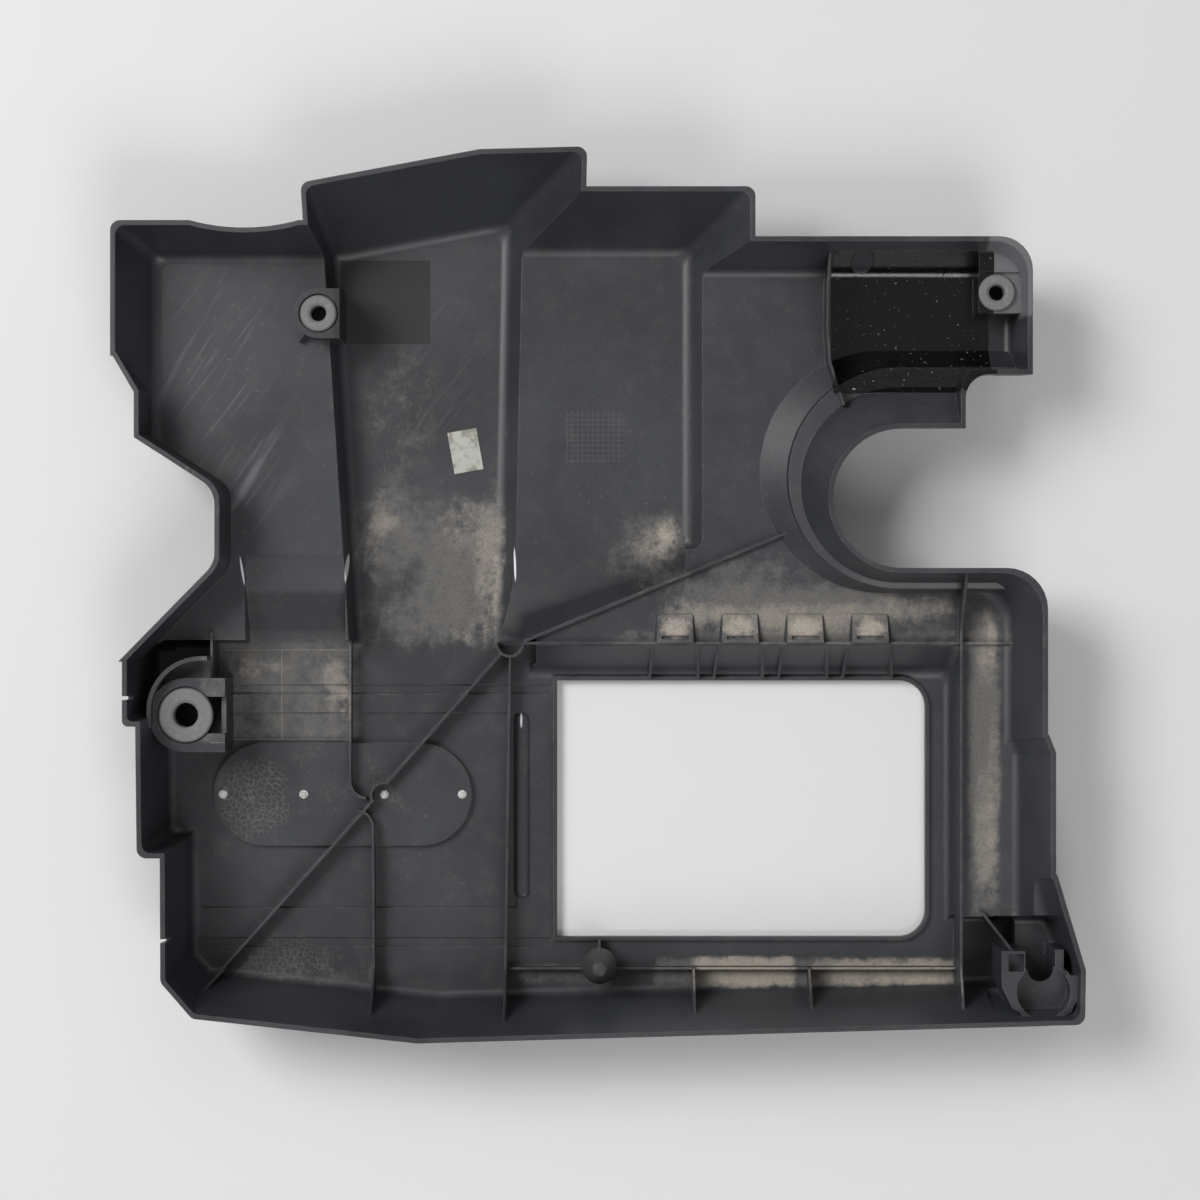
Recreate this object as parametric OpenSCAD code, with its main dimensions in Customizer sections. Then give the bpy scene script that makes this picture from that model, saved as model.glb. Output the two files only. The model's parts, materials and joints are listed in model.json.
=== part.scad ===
// Engine cover, lying on its outer face with its inner side up.
// Drafted tubs of several depths make one moulded wall. Ribs, snap-in holders
// and an open clip stand inside it, and small pieces are fitted to it.
// Millimetres. +X is right, +Y is the edge with the deep spine, +Z is the inner side.

/* [Cover] */
// Height from the outer face to the rim
cover_h = 58; // [54:1:66]
// Thickness of the moulded wall
wall = 2.5; // [2.0:0.1:3.0]
// Height of the outer face under the middle pocket
middle_z = 11; // [8:1:14]
// Height of the outer face under the right pocket
right_z = 21; // [18:1:24]
// Height of the outer face under the left pocket
left_z = 22; // [19:1:25]
// Height of the outer face under the clip
foot_z = 9; // [6:1:12]
// Radius of the curve between a floor and its walls
floor_r = 4; // [2:0.5:5]
// Radius of the upright corners of a pocket
corner_r = 5; // [3:0.5:7]

/* [Round cut-out] */
// Radius of the cut-out at the rim
cut_r = 35.5; // [32:0.5:38]
// Width of the flat step round the cut-out
step_w = 7; // [5:0.5:9]
// Height of that step
step_z = 31; // [29:0.5:34]

/* [Window] */
// Width of the window
window_w = 194; // [180:1:200]
// Depth of the window
window_d = 135; // [125:1:138]
// Radius of its two right-hand corners
window_r = 15; // [8:1:20]
// Height of the lip round the window, above the floor
lip_h = 5; // [3:0.5:8]

/* [Ribs] */
// Thickness of a rib
rib_t = 1.8; // [1.4:0.1:2.4]
// Height of the low ribs above the floor
rib_h = 9; // [6:0.5:12]
// Width of the louvre teeth
tooth_w = 22; // [16:1:26]

/* [Grommets] */
// Radius of the small grommets
small_r = 9.4; // [8.5:0.1:10]
// Radius of the hole in a small grommet
small_hole_r = 4; // [3:0.1:4.5]
// Radius of the large grommet
large_r = 14.1; // [13:0.1:15]
// Radius of the hole in the large grommet
large_hole_r = 6.3; // [5.5:0.1:7]
// Thickness of the plate that holds a grommet
seat_t = 3; // [2.5:0.1:4]

/* [Buffer and clip] */
// Radius of the post under the buffer
post_r = 4; // [3:0.1:5]
// Radius of the buffer at its base
buffer_r = 9.3; // [8:0.1:10.5]
// Height of the buffer
buffer_h = 17; // [14:0.5:20]
// Inner radius of the open clip
clip_r = 13.7; // [12:0.1:14.5]
// Width of the mouth of the clip
clip_mouth = 19; // [15:0.5:21]

/* [Badge plate and label] */
// Length of the plain plate
badge_l = 131; // [120:1:136]
// Width of the plain plate
badge_w = 49; // [42:1:54]
// Thickness of the plain plate
badge_t = 2; // [1.5:0.1:2.5]
// Radius of the four posts that hold the plate
stake_r = 1.3; // [1:0.1:1.6]
// Width of the label
label_w = 15.5; // [12:0.5:20]
// Length of the label
label_l = 22; // [16:0.5:26]

/* [Hidden] */
$fn = 48;
fit = 0.15;
over = 10;
arc_steps = 2;

// Rim outlines of the tubs at the outer skin, counterclockwise
spine_rim = [[-135, -45], [-11, -45], [-5.5, 228], [-62, 226.2], [-151.3, 209.6]];
spine_draft = [2, 38.5, 31, 31, 7];
middle_rim = [[-75, 20], [80, 20], [80, 207.7], [-75, 207.7]];
middle_draft = [2, 30, 25.5, 5];
right_rim = [[36, -30], [219, -30], [219, 182.3], [36, 182.3]];
right_draft = [2, 4, 11.6, 2];
left_rim = [[-248, -34], [-112, -34], [-112, 190.5], [-248, 190.5]];
left_draft = [3, 2, 12.5, 15];
base_rim = [[-222.5, -197], [-206.4, -215.5], [-92, -228], [232.8, -219],
            [232.8, -19], [-243, -19]];
base_draft = [9, 14, 20, 14, 3, 6];
column_rim = [[150, -60], [228.8, -60], [228.8, 13], [150, 13]];
column_draft = [2, 14, 4, 2];
foot_rim = [[196, -219.8], [247.5, -218.6], [248, -191], [232.8, -140], [196, -140]];
foot_draft = [8, 3, 3, 6, 4];

// Bites out of the outline, each open to the outside
left_notch = [[-201, 57], [-270, 97], [-270, -58], [-201, 10], [-196, 22], [-196, 47]];
left_step = [[-236.5, 70], [-236.5, 103], [-247, 121], [-270, 121], [-270, 70]];
right_step = [[188, 72], [270, 72], [270, 111.5], [203, 111.5], [190, 103]];
column_step = [[229, -68], [270, -68], [270, 40], [229, 40]];
bite_draft = 4;

// Round cut-out
cut_at = [155, 49.2];
column_x = 190;

// Window, held at its upper left corner
window_at = [-21.6, -45];
lip_t = 2;

// Holders: [centre, height of the seat]
upper_left = [[-144, 145], 38];
upper_right = [[204.5, 155], 44];
left_seat = [[-212.8, -62], 34];
holder_t = 3.4;
small_reach = 12;
large_reach = 22;
flange_t = 2.4;
neck_gap = 3;

buffer_at = [0.8, -194];
buffer_z = 14;
post_h = 10;
cup_at = [-46, -27];
cup_r = 8;
clip_at = [227.8, -202.5];
clip_t = 2.3;
clip_top = 50;
clip_plate_z = 36;

// Lower left floor
relief_d = 0.9;
groove_y = [-49.7, -183];
groove_w = 5;
panel = [[-224, -165], [-43, -62]];

badge_at = [-134.6, -105];
badge_sunk = 0.2;
pocket_z = badge_t + badge_sunk;
stake_x = [-63, -20.5, 22, 63];
stake_head_h = 1.2;
label_at = [-70, 76];
label_t = 0.3;
label_turn = 10;

tooth_at = [40, -9.5];
tooth_pitch = 33.8;
tooth_d = 15;

// Unit vector along v
function unit(v) = v / norm(v);

// Step of length d to the left of the line from a to b
function leftward(a, b, d) = let (u = unit(b - a)) d * [-u[1], u[0]];

// Point where the line a-b meets the line c-d
function meet(a, b, c, d) =
    let (r = b - a, s = d - c, q = c - a)
    a + r * (q[0] * s[1] - q[1] * s[0]) / (r[0] * s[1] - r[1] * s[0]);

// Convex outline with edge i moved inward by d[i]
function moved(pts, d) =
    let (n = len(pts))
    [for (i = [0 : n - 1])
        let (h = (i + n - 1) % n, j = (i + 1) % n,
             u = leftward(pts[h], pts[i], d[h]), v = leftward(pts[i], pts[j], d[i]))
        meet(pts[h] + u, pts[i] + u, pts[i] + v, pts[j] + v)];

// Convex outline with every corner rounded to radius r
function eased(pts, r) =
    let (n = len(pts))
    [for (i = [0 : n - 1])
        let (u = unit(pts[(i + n - 1) % n] - pts[i]), v = unit(pts[(i + 1) % n] - pts[i]),
             half = acos(u * v) / 2,
             centre = pts[i] + unit(u + v) * r / sin(half),
             start = atan2(u[0], -u[1]))
        for (k = [0 : arc_steps])
            let (a = start + (180 - 2 * half) * k / arc_steps)
            centre + r * [cos(a), sin(a)]];

// Solid through a list of [outline, height] levels with equal counts of points
module lofted(levels) {
    n = len(levels[0][0]);
    points = [for (l = levels) for (p = l[0]) [p[0], p[1], l[1]]];
    last = (len(levels) - 1) * n;
    sides = [for (k = [0 : len(levels) - 2]) for (i = [0 : n - 1])
        let (j = (i + 1) % n, a = k * n, b = a + n)
        for (f = [[a + i, b + j, a + j], [a + i, b + i, b + j]]) f];
    bottom = [for (i = [0 : n - 1]) i];
    top = [for (i = [n - 1 : -1 : 0]) last + i];
    polyhedron(points, concat([bottom, top], sides), convexity = 4);
}

// Tub whose surface lies skin inside the outer face; draft is each wall's lean
module tub(rim, draft, floor_z, skin) {
    low = floor_z + skin;
    top = cover_h + skin;
    bends = [for (k = [0 : arc_steps]) let (a = 90 * k / arc_steps)
        [floor_r * (1 - sin(a)), low + floor_r * (1 - cos(a))]];
    ends = concat(bends, [[0, top]]);
    lofted([for (e = ends)
        let (lean = (cover_h - e[1]) / (cover_h - low))
        [eased(moved(rim, [for (d = draft) skin + d * lean + e[0]]), corner_r), e[1]]]);
}

// Bite out of the outline, wider at the outer face than at the rim
module bite(pts, skin) {
    grown = skin + bite_draft;
    lofted([[moved(pts, [for (p = pts) -grown]), -over],
            [moved(pts, [for (p = pts) -skin]), cover_h + over]]);
}

// Section of the collar round the cut-out, from its axis outward
function collar_section(skin) =
    let (r = cut_r + skin, top = cover_h + over,
         shoulder = cut_r + 7 + skin, inner = shoulder + 5.5)
    [[0, -over], [inner + step_w + 17, -over], [inner + step_w + 17, right_z + skin],
     [inner + step_w, step_z + skin], [inner, step_z + 1 + skin],
     [shoulder, step_z + 8 + skin], [r, cover_h - 6], [r, top], [0, top]];

// Section of the steep wall that runs on past the column
function flank_section(skin) =
    let (r = cut_r + skin, top = cover_h + over)
    [[0, -over], [r + 9, -over], [r + 7, step_z + 8], [r, cover_h - 6], [r, top], [0, top]];

module both_sides(section, from_x, to_x) {
    for (side = [0, 1])
        translate([from_x, cut_at[1], 0]) mirror([0, side, 0])
            rotate([90, 0, 90]) linear_extrude(to_x - from_x) polygon(section);
}

module collar(skin) {
    translate([cut_at[0], cut_at[1], 0]) rotate_extrude($fn = 96) polygon(collar_section(skin));
    both_sides(collar_section(skin), cut_at[0], column_x + skin);
    both_sides(flank_section(skin), column_x - 1, 270);
}

// Pocket whose floor runs down in three slopes from height high to the base floor
module ramp(x0, x1, from_y, to_y, high, skin) {
    translate([x0 + skin, 0, 0]) rotate([90, 0, 90])
        linear_extrude(x1 - x0 - 2 * skin)
            polygon([[from_y + 8, high + skin], [from_y, high + skin],
                     [from_y - (from_y - to_y) * 0.4, high * 0.7 + skin],
                     [from_y - (from_y - to_y) * 0.75, high * 0.3 + skin],
                     [to_y, skin + 0.4], [to_y - 8, skin + 0.4],
                     [to_y - 8, cover_h + skin], [from_y + 8, cover_h + skin]]);
}

// Whole volume inside the surface that lies skin inside the outer face
module form(skin) {
    difference() {
        union() {
            tub(spine_rim, spine_draft, 0, skin);
            tub(middle_rim, middle_draft, middle_z, skin);
            tub(right_rim, right_draft, right_z, skin);
            tub(left_rim, left_draft, left_z, skin);
            tub(base_rim, base_draft, 0, skin);
            tub(column_rim, column_draft, 0, skin);
            tub(foot_rim, foot_draft, foot_z, skin);
            ramp(-60, 48, 23, -26, middle_z, skin);
            ramp(-190, -120, 18, -26, left_z, skin);
        }
        bite(left_notch, skin);
        bite(left_step, skin);
        bite(right_step, skin);
        bite(column_step, skin);
        collar(skin);
        translate([-180, 289.7, -over]) cylinder(r = 103 + skin, h = cover_h + 2 * over, $fn = 96);
    }
}

// Upright strip of rib through a list of points
module rib(path, top_z, t = rib_t) {
    for (i = [0 : len(path) - 2])
        let (run = path[i + 1] - path[i])
        translate([path[i][0], path[i][1], 0])
            rotate([0, 0, atan2(run[1], run[0])])
                translate([-t / 2, -t / 2, 0]) cube([norm(run) + t, t, top_z]);
}

module ribs() {
    low = wall + rib_h;
    rib([[-214, -215], [-123.4, -113], [-121, -102], [-113.8, -96.5], [-52, -32]], low);
    rib([[-37.4, -24], [107.4, 36.2]], right_z + wall + 5);
    rib([[-130, -2], [-130, -103], [-119.7, -111.3], [-117.6, -221]], low);
    rib([[-46.5, -16], [-49.1, -215]], low + 2);
    rib([[-37.4, -25], [229.4, -25]], right_z + wall + 5);
    rib([[194.4, 11], [190.7, -219]], low + 4);
    rib([[-49.1, -196.2], [189.6, -196.2]], buffer_z);
    rib([[50, -196], [50, -226]], low + 3);
    rib([[110.6, -196], [110.6, -224]], low + 3);
    rib([[buffer_at[0], window_at[1] - window_d - lip_t], buffer_at], buffer_z);
    rib([[-201.9, -18], [-201.9, -45.5]], low + 8);
    rib([[124.4, 184], [121.5, 160], [123, 130], [134, 98]], right_z + wall + 8);
}

// Ramped teeth in a row, with short ribs below them
module teeth() {
    base = right_z + wall;
    for (i = [0 : 3])
        let (x = tooth_at[0] + i * tooth_pitch) {
            translate([x - tooth_w / 2, 0, 0]) rotate([90, 0, 90]) linear_extrude(tooth_w)
                polygon([[tooth_at[1], base - 1], [tooth_at[1] - tooth_d, base - 1],
                         [tooth_at[1] - tooth_d, base + 5], [tooth_at[1], base + 0.5]]);
            for (side = [-1, 1])
                rib([[x + side * tooth_w / 2, -25], [x + side * tooth_w / 2, -38]], wall + rib_h);
        }
}

module window_outline(grow) {
    x0 = window_at[0] - grow;
    x1 = window_at[0] + window_w + grow;
    y1 = window_at[1] + grow;
    y0 = window_at[1] - window_d - grow;
    r = window_r + grow;
    translate([x0, y0]) square([x1 - x0 - r, y1 - y0]);
    translate([x1 - r - 1, y0 + r]) square([r + 1, y1 - y0 - 2 * r]);
    for (y = [y0 + r, y1 - r]) translate([x1 - r, y]) circle(r, $fn = 64);
}

module badge_outline(grow) {
    hull() for (side = [-1, 1])
        translate([badge_at[0] + side * (badge_l - badge_w) / 2, badge_at[1]])
            circle(badge_w / 2 + grow, $fn = 64);
}

// Round outline that runs on straight to one side
module d_outline(r, reach) {
    circle(r, $fn = 64);
    translate([0, -r]) square([reach, 2 * r]);
}

// Holder for a grommet: a hollow tower with a seat plate on top
module holder(place, outer, reach) {
    translate([place[0][0], place[0][1], 0]) linear_extrude(place[1]) d_outline(outer, reach);
}

module holder_hollow(place, outer, reach, neck, floor_at) {
    under = place[1] - seat_t;
    translate([place[0][0], place[0][1], 0]) {
        translate([0, 0, floor_at]) linear_extrude(under - floor_at)
            d_outline(outer - wall, reach - wall);
        translate([0, 0, under - 1]) cylinder(r = neck + fit, h = seat_t + 2);
    }
}

// Outline of the clip, from its centre
module clip_outline() {
    ring = clip_r + clip_t;
    circle(ring, $fn = 64);
    polygon([[-ring - 5.5, 21], [-ring - 5.5, 3], [-ring, -8.5], [0, -ring], [ring, -10.5],
             [ring + 7, 9], [ring + 7, 21], [clip_mouth / 2, 21], [clip_mouth / 2, 0],
             [-clip_mouth / 2, 0], [-clip_mouth / 2, 21]]);
}

module clip() {
    translate([clip_at[0], clip_at[1], foot_z]) linear_extrude(clip_top - foot_z) clip_outline();
}

// Round socket with its mouth, over a plate with a narrower slot
module clip_hollow() {
    slot_r = clip_mouth / 2 - 2.5;
    translate([clip_at[0], clip_at[1], 0]) {
        translate([0, 0, clip_plate_z]) cylinder(r = clip_r, h = cover_h, $fn = 64);
        translate([-clip_mouth / 2, 0, clip_plate_z]) cube([clip_mouth, 40, cover_h]);
        translate([0, 8, foot_z + 2 * wall]) cylinder(r = slot_r, h = cover_h);
        translate([-slot_r, 8, foot_z + 2 * wall]) cube([2 * slot_r, 32, cover_h]);
        translate([0, 0, foot_z + 2 * wall]) cylinder(r = clip_r, h = clip_plate_z - 3 - foot_z - 2 * wall);
    }
}

// Shallow channels that wrap over the left wall, and the sunk panel between them
module floor_relief() {
    intersection() {
        form(wall - relief_d);
        union() {
            for (y = groove_y)
                translate([-260, y - groove_w / 2, 0])
                    cube([260 + window_at[0] - lip_t - 1, groove_w, cover_h + over]);
            translate([panel[0][0], panel[0][1], 0])
                cube([panel[1][0] - panel[0][0], panel[1][1] - panel[0][1], wall + 1]);
        }
    }
}

module window_outline(grow) {
    x0 = window_at[0] - grow;
    x1 = window_at[0] + window_w + grow;
    y1 = window_at[1] + grow;
    y0 = window_at[1] - window_d - grow;
    r = window_r + grow;
    translate([x0, y0]) square([x1 - x0 - r, y1 - y0]);
    translate([x1 - r - 1, y0 + r]) square([r + 1, y1 - y0 - 2 * r]);
    for (y = [y0 + r, y1 - r]) translate([x1 - r, y]) circle(r, $fn = 64);
}

module badge_outline(grow) {
    hull() for (side = [-1, 1])
        translate([badge_at[0] + side * (badge_l - badge_w) / 2, badge_at[1]])
            circle(badge_w / 2 + grow, $fn = 64);
}

// Round outline that runs on straight to one side
module d_outline(r, reach) {
    circle(r, $fn = 64);
    translate([0, -r]) square([reach, 2 * r]);
}

// Holder for a grommet: a hollow tower with a seat plate on top
module holder(place, outer, reach) {
    translate([place[0][0], place[0][1], 0]) linear_extrude(place[1]) d_outline(outer, reach);
}

module holder_hollow(place, outer, reach, neck, floor_at) {
    under = place[1] - seat_t;
    translate([place[0][0], place[0][1], 0]) {
        translate([0, 0, floor_at]) linear_extrude(under - floor_at)
            d_outline(outer - wall, reach - wall);
        translate([0, 0, under - 1]) cylinder(r = neck + fit, h = seat_t + 2);
    }
}

// Outline of the clip, from its centre
module clip_outline() {
    ring = clip_r + clip_t;
    circle(ring, $fn = 64);
    polygon([[-ring - 5.5, 21], [-ring - 5.5, 3], [-ring, -8.5], [0, -ring], [ring, -10.5],
             [ring + 7, 9], [ring + 7, 21], [clip_mouth / 2, 21], [clip_mouth / 2, 0],
             [-clip_mouth / 2, 0], [-clip_mouth / 2, 21]]);
}

module clip() {
    translate([clip_at[0], clip_at[1], foot_z]) linear_extrude(clip_top - foot_z) clip_outline();
}

// Round socket with its mouth, over a plate with a narrower slot
module clip_hollow() {
    slot_r = clip_mouth / 2 - 2.5;
    translate([clip_at[0], clip_at[1], 0]) {
        translate([0, 0, clip_plate_z]) cylinder(r = clip_r, h = cover_h, $fn = 64);
        translate([-clip_mouth / 2, 0, clip_plate_z]) cube([clip_mouth, 40, cover_h]);
        translate([0, 8, foot_z + 2 * wall]) cylinder(r = slot_r, h = cover_h);
        translate([-slot_r, 8, foot_z + 2 * wall]) cube([2 * slot_r, 32, cover_h]);
        translate([0, 0, foot_z + 2 * wall]) cylinder(r = clip_r, h = clip_plate_z - 3 - foot_z - 2 * wall);
    }
}

// Shallow channels and the sunk panel in the lower left floor
module floor_relief() {
    floor_low = wall - relief_d;
    for (y = groove_y)
        translate([-232, y - groove_w / 2, floor_low]) cube([232 + window_at[0] - 1, groove_w, 2]);
    translate([panel[0][0], panel[0][1], floor_low])
        cube([panel[1][0] - panel[0][0], panel[1][1] - panel[0][1], 2]);
}

// Everything that stands inside the wall
module fittings() {
    difference() {
        union() {
            ribs();
            teeth();
            clip();
            linear_extrude(wall + lip_h) window_outline(lip_t);
            translate(cup_at) cylinder(r = cup_r, h = wall + rib_h + 4);
            translate(buffer_at) cylinder(r = post_r, h = buffer_z + post_h);
            holder(upper_left, small_r + holder_t, small_reach);
            holder(upper_right, small_r + holder_t / 2, 1);
            translate([upper_right[0][0] - small_r, upper_right[0][1] + small_r, 0])
                cube([2 * small_r, 20, upper_right[1]]);
            holder(left_seat, large_r + holder_t, large_reach);
        }
        holder_hollow(upper_left, small_r + holder_t, small_reach, small_r - neck_gap, left_z + wall);
        holder_hollow(upper_right, small_r + holder_t / 2, 1, small_r - neck_gap, right_z + wall);
        holder_hollow(left_seat, large_r + holder_t, large_reach, large_r - neck_gap, wall);
        translate([cup_at[0], cup_at[1], wall]) cylinder(r = cup_r - wall, h = cover_h);
        clip_hollow();
    }
}

module cover_shell() color([0.20, 0.21, 0.22]) {
    difference() {
        union() {
            difference() {
                form(0);
                difference() {
                    union() {
                        form(wall);
                        floor_relief();
                    }
                    linear_extrude(pocket_z + wall) badge_outline(wall);
                }
            }
            intersection() {
                form(wall / 2);
                fittings();
            }
        }
        translate([0, 0, -over]) linear_extrude(cover_h) window_outline(0);
        translate([0, 0, -over]) linear_extrude(over + pocket_z) badge_outline(fit);
        for (x = stake_x)
            translate([badge_at[0] + x, badge_at[1], 0]) cylinder(r = stake_r + fit, h = over);
    }
}

// Turned rubber ring: flange above the seat, neck through it, lip below
module grommet(place, outer, hole) color([0.30, 0.30, 0.31]) {
    neck = outer - neck_gap;
    translate([place[0][0], place[0][1], place[1]]) rotate_extrude()
        polygon([[hole, -seat_t - 3], [neck - 0.6, -seat_t - 3], [neck + 0.9, -seat_t - 0.1],
                 [neck, -seat_t - 0.1], [neck, 0], [outer, 0], [outer, flange_t * 0.6],
                 [outer - 0.8, flange_t], [hole + 1.5, flange_t], [hole, flange_t - 1]]);
}

module grommet_upper_left() grommet(upper_left, small_r, small_hole_r);
module grommet_upper_right() grommet(upper_right, small_r, small_hole_r);
module grommet_left() grommet(left_seat, large_r, large_hole_r);

// Rubber cap pressed over its post
module buffer_cone() color([0.24, 0.24, 0.25]) {
    translate([buffer_at[0], buffer_at[1], buffer_z]) difference() {
        rotate_extrude() polygon([[0, 0], [buffer_r, 0], [buffer_r, 3], [buffer_r * 0.72, buffer_h * 0.6],
                                  [buffer_r * 0.4, buffer_h * 0.93], [0, buffer_h]]);
        translate([0, 0, -1]) cylinder(r = post_r + fit, h = post_h + 1 + fit);
    }
}

// Plain plate in the front recess, with four posts melted over inside
module badge_plate() color([0.80, 0.80, 0.78]) {
    translate([0, 0, badge_sunk]) linear_extrude(badge_t) badge_outline(0);
    for (x = stake_x)
        translate([badge_at[0] + x, badge_at[1], badge_sunk + badge_t / 2]) {
            cylinder(r = stake_r, h = pocket_z + wall - badge_sunk - badge_t / 2 + 0.1);
            translate([0, 0, pocket_z + wall - badge_sunk - badge_t / 2])
                cylinder(r1 = stake_r + 1, r2 = stake_r * 0.6, h = stake_head_h);
        }
}

module blank_label() color([0.80, 0.79, 0.74]) {
    translate([label_at[0], label_at[1], wall]) rotate([0, 0, label_turn])
        translate([-label_w / 2, -label_l / 2, 0]) cube([label_w, label_l, label_t]);
}

cover_shell();
grommet_upper_left();
grommet_upper_right();
grommet_left();
buffer_cone();
badge_plate();
blank_label();
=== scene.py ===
"""Looks of a moulded engine cover that lies on its outer face, inner side up."""

import json
import logging
import math
from dataclasses import dataclass, field
from enum import Enum

import bmesh
import bpy
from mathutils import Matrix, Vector, noise

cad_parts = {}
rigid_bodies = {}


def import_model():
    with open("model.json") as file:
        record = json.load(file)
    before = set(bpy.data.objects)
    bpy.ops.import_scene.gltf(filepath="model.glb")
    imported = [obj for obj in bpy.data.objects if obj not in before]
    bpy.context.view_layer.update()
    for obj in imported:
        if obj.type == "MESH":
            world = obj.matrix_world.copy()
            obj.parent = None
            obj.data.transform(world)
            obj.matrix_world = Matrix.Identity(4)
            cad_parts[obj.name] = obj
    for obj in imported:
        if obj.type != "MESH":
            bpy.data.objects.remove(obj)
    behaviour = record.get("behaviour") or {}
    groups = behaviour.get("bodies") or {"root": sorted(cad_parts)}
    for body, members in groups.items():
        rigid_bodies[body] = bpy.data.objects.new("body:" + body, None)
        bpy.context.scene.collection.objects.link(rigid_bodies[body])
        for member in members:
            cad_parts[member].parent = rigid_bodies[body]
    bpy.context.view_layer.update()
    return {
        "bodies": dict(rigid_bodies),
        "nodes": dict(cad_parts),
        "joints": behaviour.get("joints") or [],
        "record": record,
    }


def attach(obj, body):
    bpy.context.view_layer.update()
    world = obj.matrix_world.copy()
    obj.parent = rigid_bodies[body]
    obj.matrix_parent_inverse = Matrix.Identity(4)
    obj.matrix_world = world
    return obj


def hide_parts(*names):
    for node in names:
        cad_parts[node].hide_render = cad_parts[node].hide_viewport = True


LOG = logging.getLogger("cover")
MM = 0.001
ROOT = "root"

Point = tuple[float, float, float]
Colour = tuple[float, float, float]
Pair = tuple[float, float]


class Sock:
    """Shader socket on which Python arithmetic adds Math nodes."""

    def __init__(self, graph: "Graph", link: bpy.types.NodeSocket) -> None:
        """Keep the graph and the output socket."""
        self.graph = graph
        self.link = link

    def math(self, operation: str, *others: "Sock | float") -> "Sock":
        """Add a Math node that works on this value.

        Args:
            operation: Name of the Math operation.
            others: The other values.

        Returns:
            The node's result.
        """
        inputs = dict(enumerate((self, *others)))
        return self.graph.node("ShaderNodeMath", inputs, operation=operation)

    def __add__(self, other: "Sock | float") -> "Sock":
        """Sum."""
        return self.math("ADD", other)

    __radd__ = __add__

    def __mul__(self, other: "Sock | float") -> "Sock":
        """Product."""
        return self.math("MULTIPLY", other)

    __rmul__ = __mul__

    def __sub__(self, other: "Sock | float") -> "Sock":
        """Difference."""
        return self.math("SUBTRACT", other)

    def __rsub__(self, other: float) -> "Sock":
        """Difference from a number."""
        return (self * -1.0) + other

    def clamp(self) -> "Sock":
        """Limit to the range 0 to 1."""
        return self.math("MAXIMUM", 0.0).math("MINIMUM", 1.0)

    def band(self, low: float, high: float) -> "Sock":
        """Rise smoothly from 0 at low to 1 at high."""
        return self.graph.node(
            "ShaderNodeMapRange",
            {"Value": self, "From Min": low, "From Max": high},
            interpolation_type="SMOOTHSTEP",
        )


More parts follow.
